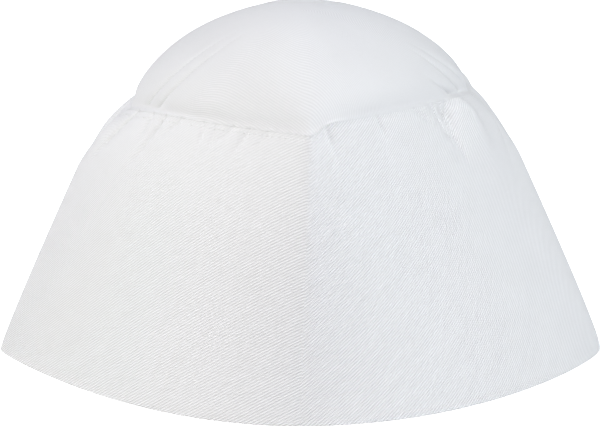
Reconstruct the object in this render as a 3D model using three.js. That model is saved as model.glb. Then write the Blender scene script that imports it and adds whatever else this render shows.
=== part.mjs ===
// A side cap of twill cloth: a flared band round the head and a boat-shaped domed crown sewn to its top.
// Millimetres, +Z up, the front towards -Y, the rim resting on Z = 0.
import * as THREE from "three";

// Rim of the band, seen from above: rounded front and back, soft corners at the sides
const RIM_HALF_WIDTH = 94;
const RIM_HALF_LENGTH = 102;
const RIM_CORNER = 6;
const RIM_POINTEDNESS = { left: 0.96, right: 0.82 };

// Seam between band and crown, seen from above: a boat with blunt ends
const SEAM_HALF_WIDTH = 53;
const SEAM_HALF_LENGTH = 95;
const SEAM_SIDE_POWER = 1.5;
const SEAM_END_POWER = 1.143;
const SEAM_END_SHIFT = 3;

// Heights of the seam: lowest at the side notches, highest towards front and back
const NOTCH_HEIGHT = { left: 77.4, right: 82.8 };
const END_HEIGHT = { left: 87.8, right: 90.7 };
const SEAM_DROP_POWER = { front: 2, back: 0.7 };
const END_PINCH = { left: 0.3, right: 3.2 };
const END_PINCH_WIDTH = 5;

// Dome of the crown: full and steep at the front and sides, falling slowly to the back from a top well ahead
const CROWN_TOP = 114.9;
const TOP_SHIFT = -0.2;
const TOP_FORWARD = 39;
const DOME_POWER_SIDE = { left: 0.72, right: 0.728 };
const DOME_POWER_END = { front: 1.25, back: 1 };
const RING_TURN = 5;
const LEVEL_EASE = 30;
const CROWN_EASE = 12;

// Band between rim and seam
const SMOOTH_FRONT = 1.32;
const SHOULDER_SIDE = { left: 7.9, right: 6.4 };
const SHOULDER_END = 1.2;
const SHOULDER_SPREAD = { front: 2.5, back: 3 };
const SHOULDER_RISE = { left: 0.75, right: 0.5 };
const SHOULDER_TURN_SIDE = { left: 24, right: 20 };
const SHOULDER_TURN_END = 9;
const RIDGE_LIFT = 0.6;

// Share of a fold left on the stitched seam, and the way from the seam over which it opens
const SEAM_HOLD = 0.35;
const SEAM_EASE = 5;

// Cloth and the gap left along the seam
const WALL_THICKNESS = 1.5;
const CROWN_THICKNESS = 1.2;
const SEAM_GAP = 0.3;

// Mesh steps
const QUARTER_STEPS = 30;
const NOTCH_CROWDING = 1.25;
const WALL_ROWS = [0, 0.1, 0.24, 0.38, 0.52, 0.65, 0.76, 0.85, 0.91, 0.955, 1];
const CROWN_RINGS = [1, 0.975, 0.93, 0.86, 0.76, 0.62, 0.44, 0.24];
const CURVE_SAMPLES = 600;

// Gathers, a row per fold: run along the seam from the notch, depth, half width, reach from the seam
const WALL_FOLDS = {
  left: [
    { run: 2, depth: 1.6, width: 4, reach: 22 },
    { run: 19, depth: 1.5, width: 4, reach: 20 },
    { run: 36, depth: 1.2, width: 3.5, reach: 13 },
    { run: 48, depth: 1.4, width: 4, reach: 18 },
    { run: 60, depth: 0.9, width: 3.5, reach: 11 },
    { run: 73, depth: 0.8, width: 3.5, reach: 10 },
    { run: 84, depth: 0.6, width: 3.5, reach: 9 },
  ],
  right: [
    { run: 1, depth: 1.7, width: 4, reach: 24 },
    { run: 14, depth: 1.6, width: 4, reach: 24 },
    { run: 42, depth: 1.6, width: 4.5, reach: 20 },
    { run: 51, depth: 1.2, width: 3.5, reach: 16 },
    { run: 65, depth: 0.9, width: 3.5, reach: 10 },
    { run: 105, depth: 0.8, width: 3.5, reach: 12 },
  ],
};
const CROWN_FOLDS = {
  left: [
    { run: 3, depth: 1.1, width: 4, reach: 16 },
    { run: 26, depth: 1.2, width: 4.5, reach: 26 },
    { run: 42, depth: 1.4, width: 5, reach: 34 },
  ],
  right: [
    { run: 4, depth: 1.1, width: 4, reach: 16 },
    { run: 17, depth: 1.2, width: 4, reach: 20 },
    { run: 37, depth: 1.4, width: 5, reach: 28 },
  ],
};

const { lerp, smoothstep } = THREE.MathUtils;

// A curve over 0..1 that is walked by its own length.
function byLength(curve) {
  const points = [];
  const runs = [0];
  for (let i = 0; i <= CURVE_SAMPLES; i++) {
    points.push(curve(i / CURVE_SAMPLES));
    if (i > 0) runs.push(runs[i - 1] + points[i].distanceTo(points[i - 1]));
  }
  const length = runs[CURVE_SAMPLES];
  const at = (fraction) => {
    const run = fraction * length;
    let i = 1;
    while (i < CURVE_SAMPLES && runs[i] < run) i++;
    const part = (run - runs[i - 1]) / (runs[i] - runs[i - 1]);
    return points[i - 1].clone().lerp(points[i], part);
  };
  return { length, at };
}

// A quarter of the rim from the front middle to the side, as positive plan sizes.
function rimQuarter(side) {
  const power = 0.5 / RIM_POINTEDNESS[side];
  const corner = RIM_CORNER ** (2 * power);
  const reach = (RIM_HALF_LENGTH ** 2 + RIM_CORNER ** 2) ** power - corner;
  return byLength((part) => {
    const angle = (part * Math.PI) / 2;
    const spread = Math.cos(angle) ** 2 * reach + corner;
    const along = Math.sqrt(Math.max(spread ** (1 / power) - RIM_CORNER ** 2, 0));
    return new THREE.Vector3(RIM_HALF_WIDTH * Math.sin(angle), along, 0);
  });
}

// A quarter of the seam from the front end to the notch, as positive plan sizes.
function seamQuarter() {
  return byLength((part) => {
    const angle = (part * Math.PI) / 2;
    const across = SEAM_HALF_WIDTH * Math.sin(angle) ** SEAM_SIDE_POWER;
    const along = SEAM_HALF_LENGTH * Math.max(Math.cos(angle), 0) ** SEAM_END_POWER;
    return new THREE.Vector3(across, along, 0);
  });
}

const RIMS = { left: rimQuarter("left"), right: rimQuarter("right") };
const SEAM = seamQuarter();

// Level of a side's seam at a share of its run from the end, before the pinch of the end.
function seamLevel(side, end, drawn) {
  return lerp(END_HEIGHT[side], NOTCH_HEIGHT[side], drawn ** SEAM_DROP_POWER[end]);
}

// How far the seam is pulled down close to its end.
function endPinch(side, endRun) {
  return END_PINCH[side] * Math.exp(-((endRun / END_PINCH_WIDTH) ** 2));
}

// One station of the cap: its rim point, its seam point and its run from the notch.
function station(side, end, part) {
  const across = side === "left" ? -1 : 1;
  const along = end === "front" ? -1 : 1;
  const rim = RIMS[side].at(part);
  const drawn = SMOOTH_FRONT * part + (1 - SMOOTH_FRONT) * part ** 2;
  const seam = SEAM.at(drawn);
  const endRun = drawn * SEAM.length;
  const shift = end === "front" ? SEAM_END_SHIFT * (1 - drawn) ** 4 : 0;
  const level = seamLevel(side, end, drawn);
  const height = level - endPinch(side, endRun);
  const middleLevel = (seamLevel("left", end, drawn) + seamLevel("right", end, drawn)) / 2;
  return {
    side,
    end,
    part,
    shift,
    acrossShare: (across * seam.x) / SEAM_HALF_WIDTH,
    alongShare: (along * seam.y) / SEAM_HALF_LENGTH,
    crownLevel: lerp(middleLevel, level, smoothstep(endRun, 0, LEVEL_EASE)),
    notchRun: SEAM.length - endRun,
    rim: new THREE.Vector3(across * rim.x, along * rim.y, 0),
    seam: new THREE.Vector3(across * seam.x + shift, along * seam.y, height),
  };
}

// Stations in order round the cap: front, right, back, left.
function allStations() {
  const parts = [];
  for (let i = 0; i < QUARTER_STEPS; i++) {
    parts.push(1 - (1 - i / QUARTER_STEPS) ** NOTCH_CROWDING);
  }
  const back = [1, ...parts.slice(1).reverse()];
  return [
    ...parts.map((part) => station("right", "front", part)),
    ...back.map((part) => station("right", "back", part)),
    ...parts.map((part) => station("left", "back", part)),
    ...back.map((part) => station("left", "front", part)),
  ];
}

const STATIONS = allStations();
const COUNT = STATIONS.length;
const next = (i) => (i + 1) % COUNT;
const previous = (i) => (i + COUNT - 1) % COUNT;

// Level direction out of a closed ring of points at station i.
function levelOut(ring, i) {
  const along = ring[next(i)].clone().sub(ring[previous(i)]);
  return new THREE.Vector3(along.y, -along.x, 0).normalize();
}

// How far the gathers draw the cloth in at a station, a given way from the seam.
function gathered(folds, { side, notchRun }, fromSeam) {
  let lift = 0;
  for (const { run, depth, width, reach } of folds[side]) {
    const across = Math.exp(-(((notchRun - run) / width) ** 2));
    lift -= depth * across * (1 - smoothstep(fromSeam, 0, reach));
  }
  return lift;
}

// How far the band swells out at a rise: most at its shoulder, which turns in to the seam.
function shoulderSwell(rise, { side, end, part }) {
  const shoulder = lerp(SHOULDER_END, SHOULDER_SIDE[side], part ** SHOULDER_SPREAD[end]);
  const middlePower = (SHOULDER_RISE.left + SHOULDER_RISE.right) / 2;
  const power = lerp(middlePower, SHOULDER_RISE[side], part);
  const turn = lerp(SHOULDER_TURN_END, SHOULDER_TURN_SIDE[side], part);
  return shoulder * rise ** power * (1 - rise ** turn);
}

// The band's outer surface, row by row from rim to seam, before its folds.
function wallRows() {
  const middle = STATIONS.map(({ rim, seam }) => rim.clone().lerp(seam, 0.5));
  return WALL_ROWS.map((rise) =>
    STATIONS.map((at, i) => {
      const top = at.seam.clone();
      top.z -= SEAM_GAP / 2;
      const skin = at.rim.clone().lerp(top, rise);
      return skin.addScaledVector(levelOut(middle, i), shoulderSwell(rise, at));
    }),
  );
}

// The pressed ridge up the front and back of the band.
function ridgeLift(rise, at) {
  return at.part === 0 ? RIDGE_LIFT * smoothstep(rise, 0, 1) : 0;
}

// Folds of the band at a row and station: held along the seam, open just below it, faded further down.
function wallLift(rise, at) {
  const fromSeam = (1 - rise) * at.rim.distanceTo(at.seam);
  const opened = SEAM_HOLD + (1 - SEAM_HOLD) * smoothstep(fromSeam, 0, SEAM_EASE);
  return ridgeLift(rise, at) + opened * gathered(WALL_FOLDS, at, fromSeam);
}

// How high the crown stands on a ring, from 0 at the seam to 1 at the top.
function domeShare(out, { side, end, part }) {
  return (1 - out ** 2) ** lerp(DOME_POWER_END[end], DOME_POWER_SIDE[side], smoothstep(part, 0, 1));
}

// A share of the boat's half size on a ring that turns from the boat at the seam into an ellipse at the top.
function turnedShare(share, power, out) {
  return Math.sign(share) * Math.abs(share) ** ((1 + (power - 1) * out ** RING_TURN) / power);
}

// One point of the crown: the dome stands on the seam at its edge and on both sides' level inside.
function crownPoint(out, at) {
  const { seam, shift, acrossShare, alongShare, crownLevel } = at;
  const gone = 1 - out ** 2;
  const across = SEAM_HALF_WIDTH * turnedShare(acrossShare, SEAM_SIDE_POWER, out) + shift;
  const along = SEAM_HALF_LENGTH * turnedShare(alongShare, SEAM_END_POWER, out);
  const inside = smoothstep((1 - out) * Math.hypot(seam.x, seam.y), 0, CROWN_EASE);
  const foot = lerp(seam.z, crownLevel, inside) + SEAM_GAP / 2;
  const height = foot + (CROWN_TOP - foot) * domeShare(out, at);
  return new THREE.Vector3(across * out + TOP_SHIFT * gone, along * out - TOP_FORWARD * gone, height);
}

// The crown's outer surface, ring by ring from seam towards the top, before its folds.
function crownRings() {
  return CROWN_RINGS.map((out) => STATIONS.map((at) => crownPoint(out, at)));
}

// Folds of the crown at a ring and station: they start from the band's along the seam.
function crownLift(out, at) {
  const fromSeam = (1 - out) * Math.hypot(at.seam.x, at.seam.y);
  const opened = smoothstep(fromSeam, 0, SEAM_EASE);
  return opened * gathered(CROWN_FOLDS, at, fromSeam) + (1 - opened) * wallLift(1, at);
}

// Outward normal of a grid of rows at row j and station i.
function gridNormal(rows, j, i) {
  const below = rows[Math.max(j - 1, 0)][i];
  const above = rows[Math.min(j + 1, rows.length - 1)][i];
  const around = rows[j][next(i)].clone().sub(rows[j][previous(i)]);
  return around.cross(above.clone().sub(below)).normalize();
}

// A cloth shell: an outer skin of rows and an inner skin a thickness inside it, closed along the edges.
// The level rows keep a level cut, and an apex closes the last row of a dome.
function shell(name, rows, lifts, thickness, levelRows, apex) {
  const positions = [];
  const index = [];
  const put = (point) => {
    positions.push(point.x, point.y, point.z);
    return positions.length / 3 - 1;
  };
  const outer = [];
  const inner = [];
  rows.forEach((row, j) => {
    outer.push([]);
    inner.push([]);
    row.forEach((point, i) => {
      const normal = levelRows.includes(j) ? levelOut(row, i) : gridNormal(rows, j, i);
      const skin = point.clone().addScaledVector(normal, lifts[j][i]);
      outer[j].push(put(skin));
      inner[j].push(put(skin.clone().addScaledVector(normal, -thickness)));
    });
  });
  const quad = (a, b, c, d) => index.push(a, b, c, a, c, d);
  const last = rows.length - 1;
  for (let i = 0; i < COUNT; i++) {
    const k = next(i);
    for (let j = 0; j < last; j++) {
      quad(outer[j][i], outer[j][k], outer[j + 1][k], outer[j + 1][i]);
      quad(inner[j][i], inner[j + 1][i], inner[j + 1][k], inner[j][k]);
    }
    quad(outer[0][k], outer[0][i], inner[0][i], inner[0][k]);
    if (!apex) quad(outer[last][i], outer[last][k], inner[last][k], inner[last][i]);
  }
  if (apex) {
    const tip = put(apex);
    const hollow = put(apex.clone().setZ(apex.z - thickness));
    for (let i = 0; i < COUNT; i++) {
      index.push(outer[last][i], outer[last][next(i)], tip);
      index.push(inner[last][next(i)], inner[last][i], hollow);
    }
  }
  const geometry = new THREE.BufferGeometry();
  geometry.setAttribute("position", new THREE.Float32BufferAttribute(positions, 3));
  geometry.setIndex(index);
  geometry.computeVertexNormals();
  const cloth = new THREE.MeshStandardMaterial({ color: 0xf4f4f2, roughness: 0.9, metalness: 0 });
  const mesh = new THREE.Mesh(geometry, cloth);
  mesh.name = name;
  return mesh;
}

const wall = shell(
  "side_wall",
  wallRows(),
  WALL_ROWS.map((rise) => STATIONS.map((at) => wallLift(rise, at))),
  WALL_THICKNESS,
  [0, WALL_ROWS.length - 1],
  null,
);

const crown = shell(
  "crown",
  crownRings(),
  CROWN_RINGS.map((out) => STATIONS.map((at) => crownLift(out, at))),
  CROWN_THICKNESS,
  [0],
  new THREE.Vector3(TOP_SHIFT, -TOP_FORWARD, CROWN_TOP),
);

const cap = new THREE.Group();
cap.name = "side_cap";
cap.add(wall, crown);

export default cap;
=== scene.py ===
"""Dresses the side cap: band and crown in gathered twill, the stitches of their seam, and a plain stage."""
import math
from types import SimpleNamespace
from typing import NamedTuple

import bpy
import numpy as np
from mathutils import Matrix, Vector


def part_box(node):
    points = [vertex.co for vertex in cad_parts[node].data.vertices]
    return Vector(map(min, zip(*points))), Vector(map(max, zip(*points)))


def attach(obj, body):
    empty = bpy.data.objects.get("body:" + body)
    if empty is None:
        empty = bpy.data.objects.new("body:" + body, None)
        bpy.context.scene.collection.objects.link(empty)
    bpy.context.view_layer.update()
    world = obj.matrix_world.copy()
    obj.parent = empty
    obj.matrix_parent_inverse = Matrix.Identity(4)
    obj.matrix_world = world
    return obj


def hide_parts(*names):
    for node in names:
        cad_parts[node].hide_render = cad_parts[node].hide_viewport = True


bl_info = {
    "name": "Side Cap",
    "version": (1, 0, 0),
    "blender": (4, 5, 0),
    "location": "View3D > Sidebar > Side Cap",
    "description": "Makes a twill side cap: gathered band, domed crown, seam stitches and a plain stage",
    "category": "Object",
}

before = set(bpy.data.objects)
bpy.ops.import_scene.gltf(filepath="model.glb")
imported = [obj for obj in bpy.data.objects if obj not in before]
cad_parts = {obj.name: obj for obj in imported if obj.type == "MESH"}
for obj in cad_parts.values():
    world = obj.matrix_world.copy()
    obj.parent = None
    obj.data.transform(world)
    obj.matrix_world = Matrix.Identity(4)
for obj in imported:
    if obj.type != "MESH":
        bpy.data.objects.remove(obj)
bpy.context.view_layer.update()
BAND_LOW, BAND_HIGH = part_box("side_wall")
CROWN_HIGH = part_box("crown")[1]

# Sides and ends of the cap as signs along X and Y
LEFT, RIGHT = -1, 1
FRONT, BACK = -1, 1

# Rim of the band, seen from above: soft corners at the sides
RIM_CORNER = 0.006
RIM_FULLNESS = 0.1
RIM_POINTEDNESS = {LEFT: 0.96, RIGHT: 0.82}

# Seam between band and crown, seen from above: a boat with blunt ends
SEAM_SIDE_POWER = 1.5
SEAM_END_POWER = 1.143
SEAM_END_SHIFT = 0.003
SEAM_END_SHIFT_POWER = 4

# Heights of the seam: lowest at the side notches, highest towards front and back
NOTCH_HEIGHT = {LEFT: 0.0774, RIGHT: 0.0828}
END_HEIGHT = {LEFT: 0.0878, RIGHT: 0.0907}
SEAM_DROP_POWER = {FRONT: 2.0, BACK: 0.7}
END_PINCH = {LEFT: 0.0003, RIGHT: 0.0032}
END_PINCH_WIDTH = 0.005

# Dome of the crown: full and steep at the front and sides, falling slowly to the back from a top well ahead
TOP_SHIFT = -0.0002
TOP_FORWARD = 0.039
DOME_POWER_SIDE = {LEFT: 0.72, RIGHT: 0.728}
DOME_POWER_END = {FRONT: 1.25, BACK: 1.0}
RING_TURN = 5.0
LEVEL_EASE = 0.03
CROWN_EASE = 0.012

# Shoulders of the band between rim and seam
SMOOTH_FRONT = 1.32
SHOULDER_SIDE = {LEFT: 0.0079, RIGHT: 0.0064}
SHOULDER_END = 0.0012
SHOULDER_SPREAD = {FRONT: 2.5, BACK: 3.0}
SHOULDER_RISE = {LEFT: 0.75, RIGHT: 0.5}
SHOULDER_TURN_END = 9
SHOULDER_TURN_SIDE = {LEFT: 24, RIGHT: 20}

# Pull of the gathering thread at the side notches, on the seam and over ways below and above it
NOTCH_PULL = {LEFT: 0.0003, RIGHT: 0.0005}
NOTCH_PULL_RUN = {FRONT: 0.012, BACK: 0.025}
NOTCH_PULL_BAND = 0.005
NOTCH_PULL_CROWN = 0.004

# Pressed ridge up the front and back of the band
RIDGE_LIFT = 0.0006
RIDGE_WIDTH = 0.004
RIDGE_RISES = (0.0, 0.15, 0.36, 0.55, 0.76, 0.96, 1.0)
RIDGE_DRIFTS = (-0.001, 0.0007, 0.0026, 0.0014, 0.0005, -0.0004, 0.0)

# Share of a band gather left on the stitched seam, and the ways from the seam over which gathers open
SEAM_HOLD = 0.35
SEAM_EASE = 0.005
CROWN_OPENING = 0.002

# Fillet of the crown's foot at the seam
SEAM_FILLET = 0.0005
SEAM_FILLET_WAY = 0.0015

# Thin turned edge of the crown, which lies on the top of the band and softens near the notches
SEAM_LIP = {LEFT: 0.00012, RIGHT: 0.00003}
SEAM_LAP = 0.0005
SEAM_LAP_ROWS = 3
SEAM_CLEARANCE = 0.00003
SEAM_EDGE_WIDTH = 0.004
SEAM_TOP_FULLNESS = 0.2
SEAM_SOFT_SHARE = 0.5
SEAM_SOFT_RUNS = (0.003, 0.02)
STITCH_LINE = 0.0018
STITCH_SINK = 0.0001
STITCH_SINK_WIDTH = 0.0006

# A stitch: how far its thread stands out in radii, its dive into the cloth at both tips, and its mesh
STITCH_PROUD = {LEFT: 0.2, RIGHT: -0.6}
STITCH_DIVE = 2.0
STITCH_DIVE_POWER = 4
STITCH_SHARE = 0.62
STITCH_TIP_POWER = 6
STITCH_TIP = 0.02
STITCH_SIDES = 8
STITCH_RINGS = 7

# Run from an end over which both sides' own values ease to their mean
SIDE_BLEND = 0.012

# How far the flat pattern of a band panel follows the cap's flare
PANEL_FLARE = 0.26

# Relief of the weave, scaling its bump and its painted groove shade: share pulled flat along the seam and over
# which way, crown's share, painted groove shade of a flat weave
WEAVE_PULLED = {LEFT: 0.78, RIGHT: 0.1}
WEAVE_PULLED_WAY = 0.026
CROWN_RELIEF = 0.32
FLAT_GROOVE = 0.55

# Twill lines: how they wander, the beat of the yarns along them, the fuzz, and how narrow the grooves are
CROWN_WALE_ANGLE = math.radians(-45)
WANDER_SCALE = 160.0
WANDER = 0.04
BEAT_PITCH = 0.8
BEAT = 0.02
FUZZ_SCALE = 2600.0
FUZZ = 0.02
NOISE_DETAIL = 2.0
GROOVE_POWER = 1.4
TWILL_ROUGHNESS = 0.9
TWILL_SPECULAR = 0.2

# Sewing thread
TWIST_SCALE = 900.0
TWIST_DEPTH = 0.00004
THREAD_ROUGHNESS = 0.7

# Mesh steps
QUARTER_STEPS = {FRONT: 300, BACK: 130}
NOTCH_CROWDING = 1.25
BAND_ROWS = 64
BAND_INNER_ROWS = 20
BAND_ROW_CROWDING = 1.5
RIM_SUPPORT = 0.997
CROWN_RINGS = 56
CROWN_INNER_RINGS = 20
CROWN_RING_CROWDING = 1.9
CROWN_LAST_RING = 0.03
EDGE_STEPS = 6
CURVE_SAMPLES = 800


class Gather(NamedTuple):
    """A fold that starts at the seam, in millimetres: its run from the notch there, its lean per way from the
    seam, where it starts and ends on that way, how deep and how wide it is drawn in, and how deep the crease
    is in its middle. A depth below 0 raises the cloth."""

    run: float
    lean: float
    start: float
    reach: float
    depth: float
    width: float
    crease: float


BAND_GATHERS = {
    LEFT: (
        Gather(3.0, -0.20, 0.0, 22.0, 1.6, 4.0, 0.0),
        Gather(8.9, -0.86, 0.5, 16.0, 0.3, 2.5, 2.4),
        Gather(25.8, -1.04, 0.5, 22.0, 0.6, 3.5, 2.6),
        Gather(40.1, -0.42, 0.5, 12.0, 0.5, 3.0, 1.8),
        Gather(49.7, -0.79, 0.5, 23.0, 0.7, 3.5, 2.4),
        Gather(60.1, -1.31, 0.5, 10.0, 0.6, 3.0, 1.4),
        Gather(72.7, -0.17, 1.0, 13.0, 0.4, 2.5, 1.1),
        Gather(78.0, -0.21, 2.0, 12.0, 0.4, 2.5, 0.9),
        Gather(86.5, -1.32, 0.5, 9.0, 0.5, 2.5, 1.1),
        Gather(92.6, -0.68, 0.5, 11.0, 0.4, 2.5, 1.1),
        Gather(100.5, -0.86, 0.5, 8.0, 0.3, 2.0, 0.8),
    ),
    RIGHT: (
        Gather(3.0, -0.20, 0.0, 24.0, 1.2, 4.0, 0.0),
        Gather(4.5, 0.25, 1.0, 36.0, 0.3, 3.0, 0.2),
        Gather(33.0, -0.42, 0.5, 30.0, -2.6, 6.0, 0.0),
        Gather(40.8, 0.00, 0.5, 14.0, 0.7, 2.0, 1.3),
        Gather(44.4, -0.22, 0.3, 24.0, 2.0, 4.0, 1.4),
        Gather(51.7, -0.53, 0.5, 18.0, 0.9, 3.5, 1.3),
        Gather(65.0, -1.60, 0.3, 9.0, 0.6, 3.0, 1.0),
        Gather(84.8, -0.51, 1.0, 10.0, 0.4, 2.5, 0.7),
        Gather(107.5, -0.42, 0.5, 15.0, 0.5, 3.0, 0.7),
    ),
}
CROWN_GATHERS = {
    LEFT: (
        Gather(3.0, 0.00, 0.0, 12.0, 0.3, 4.0, 0.0),
        Gather(29.2, 0.20, 0.5, 50.0, 0.4, 3.0, 0.6),
        Gather(39.5, 0.33, 0.5, 48.0, 0.4, 3.0, 0.6),
    ),
    RIGHT: (
        Gather(3.0, 0.00, 0.0, 12.0, 0.1, 4.0, 0.0),
        Gather(6.5, 0.37, 0.5, 36.0, 1.1, 2.5, 1.0),
        Gather(19.3, 0.25, 0.5, 32.0, 1.1, 3.0, 1.1),
        Gather(30.2, 0.83, 0.5, 16.0, 0.9, 3.5, 0.8),
    ),
}
CREASE_WIDTH = 0.0005
CREASE_ROUNDING = 0.3
GATHER_UNIT = 0.001


class Softbox(NamedTuple):
    """A soft light: its azimuth from the front and its rise in degrees, its power in watts and its colour."""

    name: str
    azimuth: float
    rise: float
    power: float
    colour: tuple


SOFTBOXES = (
    Softbox("low_left_softbox", -75, 8, 10.05, (1.0, 0.98, 0.87)),
    Softbox("high_left_softbox", -50, 60, 9.4, (0.94, 0.93, 1.0)),
    Softbox("front_softbox", 0, 40, 7.8, (1.0, 0.98, 0.99)),
    Softbox("right_softbox", 75, 25, 7.6, (0.76, 0.85, 1.0)),
    Softbox("high_right_softbox", 75, 40, 8.6, (1.0, 1.0, 0.93)),
    Softbox("back_left_softbox", -140, 40, 7.0, (0.82, 0.87, 1.0)),
)
SOFTBOX_SIZE = 0.9
SOFTBOX_DISTANCE = 1.6
SOFTBOX_AIM = 0.05

FLOOR_REACH = 4.0
FILM_WIDTH = 36.0

WEAVE_GROUP = "Twill Weave"
CLOTH_MAP = "cloth"
RELIEF = "weave_relief"


class SideCapSizes(bpy.types.PropertyGroup):
    """Sizes of the cap"""

    rim_width: bpy.props.FloatProperty(
        name="Rim Width",
        description="Width of the rim from side to side",
        default=BAND_HIGH[0] - BAND_LOW[0],
        unit="LENGTH",
    )
    rim_length: bpy.props.FloatProperty(
        name="Rim Length",
        description="Length of the rim from front to back",
        default=BAND_HIGH[1] - BAND_LOW[1],
        unit="LENGTH",
    )
    seam_width: bpy.props.FloatProperty(
        name="Seam Width",
        description="Width between the notches of the seam",
        default=0.106,
        unit="LENGTH",
    )
    seam_length: bpy.props.FloatProperty(
        name="Seam Length",
        description="Length of the seam from front to back",
        default=0.19,
        unit="LENGTH",
    )
    crown_top: bpy.props.FloatProperty(
        name="Crown Top",
        description="Height of the crown above the surface that the rim rests on",
        default=CROWN_HIGH[2],
        unit="LENGTH",
    )
    band_cloth: bpy.props.FloatProperty(
        name="Band Cloth",
        description="Thickness of the doubled cloth of the band",
        default=0.0015,
        unit="LENGTH",
    )
    crown_cloth: bpy.props.FloatProperty(
        name="Crown Cloth",
        description="Thickness of the crown's cloth",
        default=0.0012,
        unit="LENGTH",
    )
    stitch_pitch: bpy.props.FloatProperty(
        name="Stitch Pitch",
        description="Way from one stitch of the seam to the next",
        default=0.0023,
        unit="LENGTH",
    )
    stitch_thread: bpy.props.FloatProperty(
        name="Stitch Thread",
        description="Thickness of the sewing thread",
        default=0.00034,
        unit="LENGTH",
    )


class SideCapFinish(bpy.types.PropertyGroup):
    """Colours and weave of the cap"""

    cloth_colour: bpy.props.FloatVectorProperty(
        name="Cloth Colour",
        description="Colour of the raised yarns of the twill",
        subtype="COLOR",
        default=(0.925, 0.927, 0.93),
        min=0,
        max=1,
    )
    # Painted shade: the grooves between the twill lines are coloured darker where shade falls in them
    groove_shade_colour: bpy.props.FloatVectorProperty(
        name="Groove Colour",
        description="Colour in the grooves between the twill lines",
        subtype="COLOR",
        default=(0.728, 0.73, 0.733),
        min=0,
        max=1,
    )
    thread_colour: bpy.props.FloatVectorProperty(
        name="Thread Colour",
        description="Colour of the sewing thread",
        subtype="COLOR",
        default=(0.84, 0.84, 0.84),
        min=0,
        max=1,
    )
    # Painted shade: the crown's twill is a darker copy of the band's, set to how light falls on the crown
    crown_painted_shade: bpy.props.FloatProperty(
        name="Crown Tone",
        description="Brightness of the crown's single cloth against the doubled cloth of the band",
        default=0.965,
        min=0,
        max=1,
    )
    wale_pitch: bpy.props.FloatProperty(
        name="Twill Line Pitch",
        description="Way from one twill line to the next",
        default=0.00082,
        precision=5,
        unit="LENGTH",
    )
    wale_angle: bpy.props.FloatProperty(
        name="Twill Line Angle",
        description="Rise of the twill lines from the rim's direction",
        default=math.radians(34),
        subtype="ANGLE",
    )
    weave_depth: bpy.props.FloatProperty(
        name="Weave Depth",
        description="Depth of the grooves between the twill lines",
        default=0.00015,
        precision=5,
        unit="LENGTH",
    )


class SideCapStage(bpy.types.PropertyGroup):
    """Floor, lights and camera"""

    floor_colour: bpy.props.FloatVectorProperty(
        name="Floor Colour",
        description="Colour of the plain floor",
        subtype="COLOR",
        default=(0.92, 0.92, 0.92),
        min=0,
        max=1,
    )
    camera_distance: bpy.props.FloatProperty(
        name="Camera Distance",
        description="Way from the camera to the point that it looks at",
        default=2.0,
        unit="LENGTH",
    )
    camera_rise: bpy.props.FloatProperty(
        name="Camera Rise",
        description="How far the camera looks down on the cap",
        default=math.radians(12),
        subtype="ANGLE",
    )
    camera_target: bpy.props.FloatProperty(
        name="Camera Target",
        description="Height of the point that the camera looks at",
        default=0.04348,
        precision=5,
        unit="LENGTH",
    )
    camera_lens: bpy.props.FloatProperty(
        name="Camera Lens",
        description="Focal length on a 36 mm wide film, in millimetres",
        default=384.06,
    )


def smoothstep(value, low, high):
    """0 below low, 1 above high, and a smooth rise between them."""
    share = np.clip((value - low) / (high - low), 0, 1)
    return share * share * (3 - 2 * share)


def walked_by_length(points, shares):
    """Points of a plan curve at shares of its own length, and that length."""
    steps = np.linalg.norm(np.diff(points, axis=0), axis=1)
    runs = np.concatenate([[0.0], np.cumsum(steps)])
    places = [np.interp(shares * runs[-1], runs, points[:, axis]) for axis in range(2)]
    return np.stack(places, -1), runs[-1]


def rim_quarter(sizes, side, shares):
    """A quarter of the rim from the front middle to the side, as positive plan sizes."""
    half_length = sizes.rim_length / 2
    power = 0.5 / RIM_POINTEDNESS[side]
    corner = RIM_CORNER ** (2 * power)
    reach = (half_length**2 + RIM_CORNER**2) ** power - corner
    angle = np.linspace(0, np.pi / 2, CURVE_SAMPLES)
    spread = np.cos(angle) ** 2 * reach + corner
    along = np.sqrt(np.maximum(spread ** (1 / power) - RIM_CORNER**2, 0))
    across = sizes.rim_width / 2 * np.sin(angle)
    return walked_by_length(np.stack([across, along], -1), shares)


def seam_quarter(sizes, shares):
    """A quarter of the seam from the front end to the notch, as positive plan sizes."""
    angle = np.linspace(0, np.pi / 2, CURVE_SAMPLES)
    across = sizes.seam_width / 2 * np.sin(angle) ** SEAM_SIDE_POWER
    along = sizes.seam_length / 2 * np.maximum(np.cos(angle), 0) ** SEAM_END_POWER
    return walked_by_length(np.stack([across, along], -1), shares)


def seam_level(side, end, drawn):
    """Height of a side's seam at a share of its run from the end, before the pinch of the end."""
    return END_HEIGHT[side] - (END_HEIGHT[side] - NOTCH_HEIGHT[side]) * drawn ** SEAM_DROP_POWER[end]


def blended(sides, side, end_run):
    """A side's own value, easing to the mean of both sides at the front and back ends."""
    mean = (sides[LEFT] + sides[RIGHT]) / 2
    return mean + (sides[side] - mean) * smoothstep(end_run, 0, SIDE_BLEND)


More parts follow.
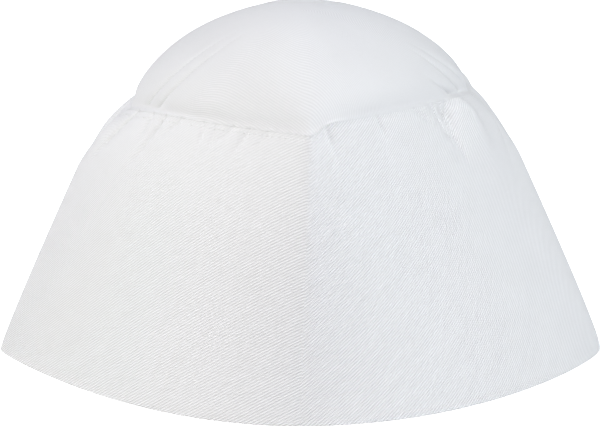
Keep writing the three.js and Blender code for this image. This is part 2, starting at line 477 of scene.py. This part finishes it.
def quarter_stations(sizes, side, end, part):
    """Stations of a quarter of the cap, from the end middle at part 0 to the notch at part 1."""
    rim, rim_length = rim_quarter(sizes, side, part)
    drawn = SMOOTH_FRONT * part + (1 - SMOOTH_FRONT) * part**2
    seam, seam_length = seam_quarter(sizes, drawn)
    end_run = drawn * seam_length
    level = seam_level(side, end, drawn)
    height = level - END_PINCH[side] * np.exp(-((end_run / END_PINCH_WIDTH) ** 2))
    shift = SEAM_END_SHIFT * (1 - drawn) ** SEAM_END_SHIFT_POWER if end == FRONT else 0
    flat = np.zeros_like(part)
    crisp = SEAM_SOFT_SHARE + (1 - SEAM_SOFT_SHARE) * smoothstep(seam_length - end_run, *SEAM_SOFT_RUNS)
    middle_level = (seam_level(LEFT, end, drawn) + seam_level(RIGHT, end, drawn)) / 2
    middle_swell = sum(SHOULDER_RISE.values()) / 2
    end_power = DOME_POWER_END[end]
    return {
        "side": flat + side,
        "shift": flat + shift,
        "across_share": side * seam[:, 0] / (sizes.seam_width / 2),
        "along_share": end * seam[:, 1] / (sizes.seam_length / 2),
        "dome_power": end_power + (DOME_POWER_SIDE[side] - end_power) * smoothstep(part, 0, 1),
        "crown_level": middle_level + (level - middle_level) * smoothstep(end_run, 0, LEVEL_EASE),
        "rim": np.stack([side * rim[:, 0], end * rim[:, 1], flat], -1),
        "seam": np.stack([side * seam[:, 0] + shift, end * seam[:, 1], height], -1),
        "panel_run": rim_length * (1 - part) * -end,
        "panel_half": flat + rim_length,
        "flare": flat + PANEL_FLARE * (1 - seam_length / rim_length) / END_HEIGHT[side],
        "end_run": end_run,
        "notch_run": (seam_length - end_run) * -end,
        "shoulder": SHOULDER_END + (SHOULDER_SIDE[side] - SHOULDER_END) * part ** SHOULDER_SPREAD[end],
        "swell": middle_swell + (SHOULDER_RISE[side] - middle_swell) * part,
        "turn": SHOULDER_TURN_END + (SHOULDER_TURN_SIDE[side] - SHOULDER_TURN_END) * part,
        "pull": NOTCH_PULL[side] * np.exp(-(((seam_length - end_run) / NOTCH_PULL_RUN[end]) ** 2)),
        "lip": blended(SEAM_LIP, side, end_run) * crisp,
        "sink": STITCH_SINK * crisp,
        "proud": blended(STITCH_PROUD, side, end_run),
        "pulled": blended(WEAVE_PULLED, side, end_run),
        "fillet": SEAM_FILLET * crisp,
    }


def cap_stations(sizes):
    """All stations in order round the cap: back, left, front, right."""
    to_notch, from_notch = {}, {}
    for end, count in QUARTER_STEPS.items():
        to_notch[end] = 1 - (1 - np.arange(count) / count) ** NOTCH_CROWDING
        from_notch[end] = np.append(1.0, to_notch[end][:0:-1])
    quarters = [
        quarter_stations(sizes, LEFT, BACK, to_notch[BACK]),
        quarter_stations(sizes, LEFT, FRONT, from_notch[FRONT]),
        quarter_stations(sizes, RIGHT, FRONT, to_notch[FRONT]),
        quarter_stations(sizes, RIGHT, BACK, from_notch[BACK]),
    ]
    joined = {name: np.concatenate([quarter[name] for quarter in quarters]) for name in quarters[0]}
    return SimpleNamespace(**joined)


def unit(vectors):
    """Vectors made one long."""
    return vectors / np.linalg.norm(vectors, axis=-1, keepdims=True)


def level_out(ring):
    """Level direction out of a closed ring of points."""
    along = np.roll(ring, -1, axis=-2) - np.roll(ring, 1, axis=-2)
    return unit(np.stack([along[..., 1], -along[..., 0], 0 * along[..., 0]], -1))


def skin_normals(rows):
    """Outward normals of rows of points that run down the cloth, each row a closed ring."""
    down = np.gradient(rows, axis=0)
    around = np.roll(rows, -1, axis=1) - np.roll(rows, 1, axis=1)
    return unit(np.cross(down, around))


def fold_depth(fold, across):
    """How deep a fold is at a way across it: a soft trough with a crease in its middle."""
    trough = fold.depth * np.exp(-((across / (GATHER_UNIT * fold.width)) ** 2))
    crease = fold.crease * np.exp(CREASE_ROUNDING - np.hypot(across / CREASE_WIDTH, CREASE_ROUNDING))
    return GATHER_UNIT * (trough + crease)


def gathered(gathers, at, way):
    """Lift of the cloth by its gathers at stations, at ways from the seam. The back mirrors the front."""
    lift = np.zeros(np.broadcast_shapes(way.shape, at.side.shape))
    for side, folds in gathers.items():
        here = at.side == side
        for fold in folds:
            run, start, reach = (GATHER_UNIT * size for size in (fold.run, fold.start, fold.reach))
            along = smoothstep(way, 0, start) if start else 1.0
            along = along * (1 - smoothstep(way, start, reach))
            for end_run in (at.notch_run, -at.notch_run):
                depth = fold_depth(fold, end_run - run - fold.lean * way)
                lift -= np.where(here, depth * along, 0)
    return lift


def band_skin(at, rise):
    """Outer skin of the band before its folds, at rows of rise from rim to seam."""
    rise = rise[:, None, None]
    swell = at.shoulder[:, None] * rise ** at.swell[:, None] * (1 - rise ** at.turn[:, None])
    return at.rim * (1 - rise) + at.seam * rise + level_out((at.rim + at.seam) / 2) * swell


def ridge_lift(at, rise):
    """The pressed ridge up the front and back of the band, which wanders a little on its way up."""
    drift = np.interp(rise, RIDGE_RISES, RIDGE_DRIFTS)[:, None]
    from_end = at.end_run * at.side
    across = (from_end - drift) / RIDGE_WIDTH
    return RIDGE_LIFT * smoothstep(rise, 0, 1)[:, None] * np.exp(-(across**2))


def band_lift(at, rise, way):
    """Ridge, gathers, pulled notches and stitch line of the band, along its normal."""
    opened = SEAM_HOLD + (1 - SEAM_HOLD) * smoothstep(way, 0, SEAM_EASE)
    lift = ridge_lift(at, rise) + opened * gathered(BAND_GATHERS, at, way)
    lift -= at.pull * np.exp(-((way / NOTCH_PULL_BAND) ** 2))
    return lift - at.sink * np.exp(-(((way - STITCH_LINE) / STITCH_SINK_WIDTH) ** 2))


def turned_share(share, power, out):
    """A share of the half size on a ring that turns from the boat at the seam into an ellipse at the top."""
    return np.sign(share) * np.abs(share) ** ((1 + (power - 1) * out**RING_TURN) / power)


def crown_skin(sizes, at, out):
    """Outer skin of the crown before its folds, at rings of out from the top, 0, to the seam, 1."""
    out = out[:, None]
    gone = 1 - out**2
    across = sizes.seam_width / 2 * turned_share(at.across_share, SEAM_SIDE_POWER, out) + at.shift
    along = sizes.seam_length / 2 * turned_share(at.along_share, SEAM_END_POWER, out)
    inside = smoothstep((1 - out) * np.hypot(at.seam[:, 0], at.seam[:, 1]), 0, CROWN_EASE)
    foot = at.seam[:, 2] + (at.crown_level - at.seam[:, 2]) * inside
    height = foot + (sizes.crown_top - foot) * gone**at.dome_power
    return np.stack([across * out + TOP_SHIFT * gone, along * out - TOP_FORWARD * gone, height], -1)


def crown_lift(at, way):
    """Gathers, fillet and pulled notches of the crown, along its normal."""
    lift = smoothstep(way, 0, CROWN_OPENING) * gathered(CROWN_GATHERS, at, way)
    lift -= at.fillet * way / SEAM_FILLET_WAY * np.exp(1 - way / SEAM_FILLET_WAY)
    return lift - at.pull * np.exp(-((way / NOTCH_PULL_CROWN) ** 2))


def rounded_edge(outer, inner, beyond, fullness=1.0):
    """Rows of a half round edge from an outer to an inner ring, bulging along a direction."""
    middle, half = (outer + inner) / 2, (outer - inner) / 2
    radius = np.linalg.norm(half, axis=-1, keepdims=True)
    turns = np.linspace(0, np.pi, EDGE_STEPS + 2)[1:-1]
    bulge = beyond * radius * fullness
    return np.stack([middle + half * np.cos(turn) + bulge * np.sin(turn) for turn in turns])


def row_ways(rows):
    """Way along the cloth from the first row to each row, station by station."""
    steps = np.linalg.norm(np.diff(rows, axis=0), axis=-1)
    return np.concatenate([np.zeros((1, rows.shape[1])), np.cumsum(steps, axis=0)])


def ring_faces(row_count, columns, closed):
    """Quads between rings of points, and over the join of the last ring to the first where it is closed."""
    rows = np.arange(row_count if closed else row_count - 1)[:, None]
    column = np.arange(columns)[None, :]
    after_row, after_column = (rows + 1) % row_count, (column + 1) % columns
    corners = [
        rows * columns + column,
        after_row * columns + column,
        after_row * columns + after_column,
        rows * columns + after_column,
    ]
    return np.stack([np.broadcast_to(corner, (len(rows), columns)) for corner in corners], -1).reshape(-1, 4)


def corner_places(starts, ends, closed):
    """Map places of the quads of ring_faces, from where each quad starts and ends along its ring."""
    starts_below, ends_below = np.roll(starts, -1, axis=0), np.roll(ends, -1, axis=0)
    corners = np.stack([starts, starts_below, ends_below, ends], 2)
    return (corners if closed else corners[:-1]).reshape(-1, 2)


def developed(side, run, flare, slant):
    """Flat pattern places of a band panel at runs along the rim from its notch and slants above the rim."""
    radius = 1 / flare
    turn = run * flare
    return np.stack([-side * (radius - slant) * np.sin(turn), radius - (radius - slant) * np.cos(turn)], -1)


def panel_places(at, slant):
    """Flat pattern places where each quad of the band starts and ends, each half of the band a panel."""
    starts = developed(at.side, at.panel_run, at.flare, slant)
    ends_run, ends_slant = np.roll(at.panel_run, -1), np.roll(slant, -1, axis=1)
    crossed = np.roll(at.side, -1) != at.side
    ends_run = np.where(crossed, np.sign(at.panel_run) * at.panel_half, ends_run)
    return starts, developed(at.side, ends_run, at.flare, ends_slant)


def cloth_object(name, points, faces, maps, relief, material):
    """A smooth mesh object of a cloth with its maps, the relief of its weave by point, and its material."""
    mesh = bpy.data.meshes.new(name)
    mesh.from_pydata(points.tolist(), [], [list(face) for face in faces])
    for map_name, places in maps.items():
        layer = mesh.uv_layers.new(name=map_name)
        layer.uv.foreach_set("vector", np.asarray(places, np.float32).ravel())
    mesh.attributes.new(RELIEF, "FLOAT", "POINT").data.foreach_set("value", np.asarray(relief, np.float32))
    mesh.polygons.foreach_set("use_smooth", np.ones(len(mesh.polygons), bool))
    mesh.materials.append(material)
    mesh.validate()
    piece = bpy.data.objects.new(name, mesh)
    bpy.context.scene.collection.objects.link(piece)
    return piece


def band_rows(sizes, at):
    """Outer skin of the band from seam to rim, with its folds, its normals and its ways from the seam."""
    rim_round = RIM_FULLNESS * sizes.band_cloth / 2 / at.seam[:, 2].min()
    shares = np.sort(np.append(np.linspace(0, 1, BAND_ROWS - 1) ** BAND_ROW_CROWDING, RIM_SUPPORT))
    rise = 1 - shares * (1 - rim_round)
    outer, normals, way = folded_band(at, rise)
    normals[-1] = level_out(outer[-1])
    return outer, normals, way


def folded_band(at, rise):
    """Outer skin of the band with its folds at rows of rise, its normals and its ways from the seam."""
    skin = band_skin(at, rise)
    way = (1 - rise)[:, None] * np.linalg.norm(at.rim - at.seam, axis=-1)
    normals = skin_normals(skin)
    return skin + normals * band_lift(at, rise, way)[..., None], normals, way


def crown_lap(at):
    """Upper and lower rows of the crown's edge, from the seam down over the top of the band."""
    rise = 1 - np.linspace(0, SEAM_LAP, SEAM_LAP_ROWS) / at.seam[:, 2].min()
    band, normals, _ = folded_band(at, rise)
    return band + normals * (SEAM_CLEARANCE + at.lip)[:, None], band + normals * SEAM_CLEARANCE


def make_band(sizes, material):
    """The band: doubled cloth from the tucked top to the rim's fold and back up inside."""
    at = cap_stations(sizes)
    outer, normals, _ = band_rows(sizes, at)
    inner_rows = np.round(np.linspace(BAND_ROWS - 1, 0, BAND_INNER_ROWS)).astype(int)
    inner = (outer - normals * sizes.band_cloth)[inner_rows]
    down, up = np.array([0, 0, -1.0]), np.array([0, 0, 1.0])
    rim_edge = rounded_edge(outer[-1], inner[0], down, RIM_FULLNESS)
    seam_edge = rounded_edge(inner[-1], outer[0], up, SEAM_TOP_FULLNESS)
    rows = np.concatenate([outer, rim_edge, inner, seam_edge])
    ways = row_ways(rows)
    slant = ways[BAND_ROWS - 1] - ways
    maps = {CLOTH_MAP: corner_places(*panel_places(at, slant), True)}
    faces = ring_faces(len(rows), len(at.side), True)
    relief = 1 - at.pulled * np.exp(-((ways / WEAVE_PULLED_WAY) ** 2))
    return cloth_object("side_wall_cloth", rows.reshape(-1, 3), faces, maps, relief.ravel(), material)


def make_crown(sizes, material):
    """The crown: a gathered dome whose turned edge lies over the top of the band."""
    at = cap_stations(sizes)
    shares = np.linspace(0, 1, CROWN_RINGS)[::-1] ** CROWN_RING_CROWDING
    out = 1 - shares * (1 - CROWN_LAST_RING)
    skin = crown_skin(sizes, at, out)
    normals = skin_normals(skin)
    normals[-1] = level_out(skin[-1])
    ways = row_ways(skin)
    way = ways[-1] - ways
    outer = skin + normals * crown_lift(at, way)[..., None]
    lap_top, lap_under = crown_lap(at)
    outer += (lap_top[0] - outer[-1]) * (1 - smoothstep(way, 0, SEAM_EASE))[..., None]
    inner_rows = np.round(np.linspace(CROWN_RINGS - 1, 0, CROWN_INNER_RINGS)).astype(int)[1:]
    thickness = at.lip + (sizes.crown_cloth - at.lip) * smoothstep(way, 0, SEAM_EDGE_WIDTH)
    inner = (outer - normals * thickness[..., None])[inner_rows]
    edge = rounded_edge(lap_top[-1], lap_under[-1], unit(lap_top[-1] - lap_top[-2]))
    rows = np.concatenate([outer, lap_top[1:], edge, lap_under[::-1], inner])
    columns, count = len(at.side), len(rows)
    top = np.array([[TOP_SHIFT, -TOP_FORWARD, sizes.crown_top]])
    hollow = top - np.array([[0, 0, sizes.crown_cloth]])
    points = np.concatenate([rows.reshape(-1, 3), top, hollow])
    column = np.arange(columns)
    after = (column + 1) % columns
    last_row = (count - 1) * columns
    tip_fan = np.stack([np.full(columns, count * columns), column, after], -1)
    hollow_fan = np.stack([last_row + column, np.full(columns, count * columns + 1), last_row + after], -1)
    faces = [*ring_faces(count, columns, False), *tip_fan, *hollow_fan]
    from_top = ways + np.linalg.norm(skin[0] - top, axis=-1)
    lapped = row_ways(lap_top)[1:] + from_top[-1]
    folded = np.concatenate(
        [from_top, lapped, np.repeat(lapped[-1:], EDGE_STEPS + SEAM_LAP_ROWS, 0), from_top[inner_rows]]
    )
    heading = unit(at.seam[:, :2] - top[:, :2])
    cloth = folded[..., None] * heading
    places = corner_places(cloth, np.roll(cloth, -1, axis=1), False)
    fan_places = [fan_corner_places(cloth[row], order) for row, order in ((0, (2, 0, 1)), (-1, (0, 2, 1)))]
    maps = {CLOTH_MAP: np.concatenate([places, *fan_places])}
    relief = np.full(len(points), CROWN_RELIEF)
    return cloth_object("crown_cloth", points, faces, maps, relief, material)


def fan_corner_places(ring, order):
    """Map places of triangles from a ring to its middle: this corner, the next, the middle, in an order."""
    corners = np.stack([ring, np.roll(ring, -1, axis=0), np.zeros_like(ring)], 1)
    return corners[:, order].reshape(-1, 2)


def new_value(tree, operation, *inputs):
    """A math node of a tree. Inputs are sockets or numbers. Returns its output."""
    node = tree.nodes.new("ShaderNodeMath")
    node.operation = operation
    for socket, value in zip(node.inputs, inputs):
        if isinstance(value, bpy.types.NodeSocket):
            tree.links.new(value, socket)
        else:
            socket.default_value = value
    return node.outputs[0]


def new_noise(tree, place, scale):
    """A noise over a map's places, from 0 to 1."""
    node = tree.nodes.new("ShaderNodeTexNoise")
    node.noise_dimensions = "2D"
    node.inputs["Scale"].default_value = scale
    node.inputs["Detail"].default_value = NOISE_DETAIL
    tree.links.new(place, node.inputs["Vector"])
    return node.outputs[0]


def twill_weave_group():
    """Twill lines over a cloth map in metres: their height, and how deep a place lies in a groove."""
    found = bpy.data.node_groups.get(WEAVE_GROUP)
    if found:
        return found
    tree = bpy.data.node_groups.new(WEAVE_GROUP, "ShaderNodeTree")
    inputs = {"Cloth": "NodeSocketVector", "Pitch": "NodeSocketFloat", "Angle": "NodeSocketFloat"}
    for name, kind in inputs.items():
        tree.interface.new_socket(name, in_out="INPUT", socket_type=kind)
    for name in ("Height", "Groove"):
        tree.interface.new_socket(name, in_out="OUTPUT", socket_type="NodeSocketFloat")
    ends = tree.nodes.new("NodeGroupInput"), tree.nodes.new("NodeGroupOutput")
    cloth, pitch, angle = (ends[0].outputs[name] for name in ("Cloth", "Pitch", "Angle"))
    split = tree.nodes.new("ShaderNodeSeparateXYZ")
    tree.links.new(cloth, split.inputs[0])
    across_run, up_run = split.outputs["X"], split.outputs["Y"]
    sine, cosine = new_value(tree, "SINE", angle), new_value(tree, "COSINE", angle)
    climb = new_value(tree, "MULTIPLY", up_run, cosine)
    across = new_value(tree, "SUBTRACT", climb, new_value(tree, "MULTIPLY", across_run, sine))
    lead = new_value(tree, "MULTIPLY", across_run, cosine)
    along = new_value(tree, "MULTIPLY_ADD", up_run, sine, lead)
    lines = new_value(tree, "DIVIDE", across, pitch)
    wander = new_noise(tree, cloth, WANDER_SCALE)
    wandering = new_value(tree, "MULTIPLY_ADD", wander, WANDER, lines)
    wave = new_value(tree, "COSINE", new_value(tree, "MULTIPLY", wandering, 2 * math.pi))
    raised = new_value(tree, "MULTIPLY_ADD", wave, 0.5, 0.5)
    floats = new_value(tree, "DIVIDE", along, new_value(tree, "MULTIPLY", pitch, BEAT_PITCH))
    beat = new_value(tree, "COSINE", new_value(tree, "MULTIPLY", floats, 2 * math.pi))
    fuzz = new_noise(tree, cloth, FUZZ_SCALE)
    yarn = new_value(tree, "MULTIPLY_ADD", beat, BEAT, new_value(tree, "MULTIPLY", fuzz, FUZZ))
    height = new_value(tree, "ADD", raised, yarn)
    groove = new_value(tree, "POWER", new_value(tree, "SUBTRACT", 1.0, raised), GROOVE_POWER)
    tree.links.new(height, ends[1].inputs["Height"])
    tree.links.new(groove, ends[1].inputs["Groove"])
    return tree


def twill_material(name, finish, angle, tone):
    """White twill of a tone, which below 1 is painted shade over the whole piece, woven along the cloth map,
    with painted shade in its grooves.
    """
    material = bpy.data.materials.new(name)
    material.use_nodes = True
    tree = material.node_tree
    shader = tree.nodes["Principled BSDF"]
    place = tree.nodes.new("ShaderNodeUVMap")
    place.uv_map = CLOTH_MAP
    weave = tree.nodes.new("ShaderNodeGroup")
    weave.node_tree = twill_weave_group()
    weave.inputs["Pitch"].default_value = finish.wale_pitch
    weave.inputs["Angle"].default_value = angle
    tree.links.new(place.outputs[0], weave.inputs["Cloth"])
    # Painted shade in the grooves of the weave, its strength scaled by the relief attribute
    colour = tree.nodes.new("ShaderNodeMix")
    colour.data_type = "RGBA"
    colour.inputs["A"].default_value = (*(tone * share for share in finish.cloth_colour), 1)
    colour.inputs["B"].default_value = (*(tone * share for share in finish.groove_shade_colour), 1)
    relief = tree.nodes.new("ShaderNodeAttribute")
    relief.attribute_name = RELIEF
    from_flat = new_value(tree, "SUBTRACT", weave.outputs["Groove"], FLAT_GROOVE)
    shade = new_value(tree, "MULTIPLY_ADD", from_flat, relief.outputs["Fac"], FLAT_GROOVE)
    tree.links.new(shade, colour.inputs["Factor"])
    tree.links.new(colour.outputs["Result"], shader.inputs["Base Color"])
    bump = tree.nodes.new("ShaderNodeBump")
    tree.links.new(relief.outputs["Fac"], bump.inputs["Strength"])
    bump.inputs["Distance"].default_value = finish.weave_depth
    tree.links.new(weave.outputs["Height"], bump.inputs["Height"])
    tree.links.new(bump.outputs[0], shader.inputs["Normal"])
    shader.inputs["Roughness"].default_value = TWILL_ROUGHNESS
    shader.inputs["Specular IOR Level"].default_value = TWILL_SPECULAR
    return material


def thread_material(finish):
    """Twisted white sewing thread."""
    material = bpy.data.materials.new("seam_thread")
    material.use_nodes = True
    tree = material.node_tree
    shader = tree.nodes["Principled BSDF"]
    place = tree.nodes.new("ShaderNodeTexCoord")
    twist = tree.nodes.new("ShaderNodeTexWave")
    twist.inputs["Scale"].default_value = TWIST_SCALE
    tree.links.new(place.outputs["Object"], twist.inputs["Vector"])
    bump = tree.nodes.new("ShaderNodeBump")
    bump.inputs["Distance"].default_value = TWIST_DEPTH
    tree.links.new(twist.outputs["Fac"], bump.inputs["Height"])
    tree.links.new(bump.outputs[0], shader.inputs["Normal"])
    shader.inputs["Base Color"].default_value = (*finish.thread_colour, 1)
    shader.inputs["Roughness"].default_value = THREAD_ROUGHNESS
    return material


def make_stitches(sizes, material):
    """Stitches along the seam, a little below the crown's turned edge."""
    at = cap_stations(sizes)
    outer, normals, way = band_rows(sizes, at)
    columns = len(at.side)
    row = np.argmin(np.abs(way - STITCH_LINE), axis=0)
    column = np.arange(columns)
    line, out = outer[row, column], normals[row, column]
    closed = np.concatenate([line, line[:1]])
    runs = np.concatenate([[0.0], np.cumsum(np.linalg.norm(np.diff(closed, axis=0), axis=1))])
    count = int(runs[-1] / sizes.stitch_pitch)
    length, radius = STITCH_SHARE * runs[-1] / count, sizes.stitch_thread / 2
    closed_out = np.concatenate([out, out[:1]])
    shares = np.linspace(-1, 1, STITCH_RINGS)
    dive = STITCH_DIVE * shares[:, None] ** STITCH_DIVE_POWER
    swell = radius * np.sqrt(np.maximum(1 - np.abs(shares) ** STITCH_TIP_POWER, STITCH_TIP))
    turns = np.linspace(0, 2 * np.pi, STITCH_SIDES, endpoint=False)
    points, faces = [], []
    for stitch in range(count):
        middle = (stitch + 0.5) * runs[-1] / count
        spots = middle + shares * length / 2
        path = np.stack([np.interp(spots, runs, closed[:, axis]) for axis in range(3)], -1)
        lift = unit(np.stack([np.interp(spots, runs, closed_out[:, axis]) for axis in range(3)], -1))
        proud = np.interp(middle, runs[:-1], at.proud)
        path = path + lift * (radius * (proud - dive))
        along = unit(np.gradient(path, axis=0))
        beside = unit(np.cross(along, lift))
        upright = np.cross(beside, along)
        start = len(points)
        for spot in range(STITCH_RINGS):
            for turn in turns:
                reach = np.cos(turn) * beside[spot] + np.sin(turn) * upright[spot]
                points.append(path[spot] + swell[spot] * reach)
        for spot in range(STITCH_RINGS - 1):
            first = start + spot * STITCH_SIDES
            for turn in range(STITCH_SIDES):
                here, beyond = first + turn, first + (turn + 1) % STITCH_SIDES
                faces.append([here, beyond, beyond + STITCH_SIDES, here + STITCH_SIDES])
        last = start + (STITCH_RINGS - 1) * STITCH_SIDES
        faces.append(list(range(start + STITCH_SIDES - 1, start - 1, -1)))
        faces.append(list(range(last, last + STITCH_SIDES)))
    return cloth_object("seam_stitches", np.array(points), faces, {}, np.zeros(len(points)), material)


def dress(piece, replaced=None):
    """Rides a piece on the cap, and lets it stand for a node by hiding that node's part."""
    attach(piece, "root")
    if replaced:
        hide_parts(replaced)


class SIDE_CAP_OT_band(bpy.types.Operator):
    """Makes the band of the cap from rim to seam"""

    bl_idname = "side_cap.band"
    bl_label = "Band"

    def execute(self, context):
        sizes, finish = context.scene.side_cap_sizes, context.scene.side_cap_finish
        material = twill_material("twill_band", finish, finish.wale_angle, 1.0)
        band = make_band(sizes, material)
        dress(band, "side_wall")
        return {"FINISHED"}


class SIDE_CAP_OT_crown(bpy.types.Operator):
    """Makes the domed crown of the cap"""

    bl_idname = "side_cap.crown"
    bl_label = "Crown"

    def execute(self, context):
        sizes, finish = context.scene.side_cap_sizes, context.scene.side_cap_finish
        # The crown's twill takes painted shade over the whole piece from its tone
        material = twill_material("twill_crown", finish, CROWN_WALE_ANGLE, finish.crown_painted_shade)
        crown = make_crown(sizes, material)
        dress(crown, "crown")
        return {"FINISHED"}


class SIDE_CAP_OT_stitches(bpy.types.Operator):
    """Sews the stitches of the seam between band and crown"""

    bl_idname = "side_cap.stitches"
    bl_label = "Seam Stitches"

    def execute(self, context):
        sizes, finish = context.scene.side_cap_sizes, context.scene.side_cap_finish
        dress(make_stitches(sizes, thread_material(finish)))
        return {"FINISHED"}


def add_softbox(softbox):
    """A square soft light that looks at the cap."""
    light = bpy.data.lights.new(softbox.name, "AREA")
    light.shape = "SQUARE"
    light.size = SOFTBOX_SIZE
    light.energy = softbox.power
    light.color = softbox.colour
    lamp = bpy.data.objects.new(softbox.name, light)
    azimuth, rise = math.radians(softbox.azimuth), math.radians(softbox.rise)
    level = SOFTBOX_DISTANCE * math.cos(rise)
    height = SOFTBOX_AIM + SOFTBOX_DISTANCE * math.sin(rise)
    lamp.location = (level * math.sin(azimuth), -level * math.cos(azimuth), height)
    lamp.rotation_euler = (math.pi / 2 - rise, 0, azimuth)
    bpy.context.scene.collection.objects.link(lamp)


def camera_ray(tree):
    """1 where the camera looks straight at a surface or the world, else 0."""
    return tree.nodes.new("ShaderNodeLightPath").outputs["Is Camera Ray"]


class SIDE_CAP_OT_stage(bpy.types.Operator):
    """Sets the floor, the lights and the camera"""

    bl_idname = "side_cap.stage"
    bl_label = "Stage"

    def execute(self, context):
        stage = context.scene.side_cap_stage
        scene = context.scene
        scene.view_settings.view_transform = "Standard"
        mesh = bpy.data.meshes.new("floor")
        corners = ((-1, -1), (1, -1), (1, 1), (-1, 1))
        mesh.from_pydata([(FLOOR_REACH * x, FLOOR_REACH * y, 0) for x, y in corners], [], [[0, 1, 2, 3]])
        floor = bpy.data.objects.new("floor", mesh)
        scene.collection.objects.link(floor)
        material = bpy.data.materials.new("floor_white")
        material.use_nodes = True
        shader = material.node_tree.nodes["Principled BSDF"]
        shader.inputs["Base Color"].default_value = (*stage.floor_colour, 1)
        shader.inputs["Roughness"].default_value = 1.0
        shader.inputs["Specular IOR Level"].default_value = 0.0
        shader.inputs["Emission Color"].default_value = (1, 1, 1, 1)
        material.node_tree.links.new(camera_ray(material.node_tree), shader.inputs["Emission Strength"])
        mesh.materials.append(material)
        world = bpy.data.worlds.new("studio")
        world.use_nodes = True
        tree = world.node_tree
        background = tree.nodes["Background"]
        background.inputs["Color"].default_value = (1, 1, 1, 1)
        tree.links.new(camera_ray(tree), background.inputs["Strength"])
        scene.world = world
        for softbox in SOFTBOXES:
            add_softbox(softbox)
        lens = bpy.data.cameras.new("camera")
        lens.sensor_width = FILM_WIDTH
        lens.lens = stage.camera_lens
        camera = bpy.data.objects.new("camera", lens)
        level = stage.camera_distance * math.cos(stage.camera_rise)
        height = stage.camera_target + stage.camera_distance * math.sin(stage.camera_rise)
        camera.location = (0, -level, height)
        camera.rotation_euler = (math.pi / 2 - stage.camera_rise, 0, 0)
        scene.collection.objects.link(camera)
        scene.camera = camera
        return {"FINISHED"}


class SIDE_CAP_PT_panel(bpy.types.Panel):
    """The pieces of the cap and their settings"""

    bl_label = "Side Cap"
    bl_idname = "SIDE_CAP_PT_panel"
    bl_space_type = "VIEW_3D"
    bl_region_type = "UI"
    bl_category = "Side Cap"

    def draw(self, context):
        layout = self.layout
        for operator in OPERATORS:
            layout.operator(operator.bl_idname)
        for name in SETTINGS:
            settings = getattr(context.scene, name)
            for key in settings.__annotations__:
                layout.prop(settings, key)


OPERATORS = (SIDE_CAP_OT_band, SIDE_CAP_OT_crown, SIDE_CAP_OT_stitches, SIDE_CAP_OT_stage)
SETTINGS = {
    "side_cap_sizes": SideCapSizes,
    "side_cap_finish": SideCapFinish,
    "side_cap_stage": SideCapStage,
}
CLASSES = (*SETTINGS.values(), *OPERATORS, SIDE_CAP_PT_panel)


def register():
    for item in CLASSES:
        bpy.utils.register_class(item)
    for name, settings in SETTINGS.items():
        setattr(bpy.types.Scene, name, bpy.props.PointerProperty(type=settings))


def unregister():
    for name in SETTINGS:
        delattr(bpy.types.Scene, name)
    for item in reversed(CLASSES):
        bpy.utils.unregister_class(item)


def main():
    register()
    bpy.ops.side_cap.band()
    bpy.ops.side_cap.crown()
    bpy.ops.side_cap.stitches()
    bpy.ops.side_cap.stage()


if __name__ == "__main__":
    main()
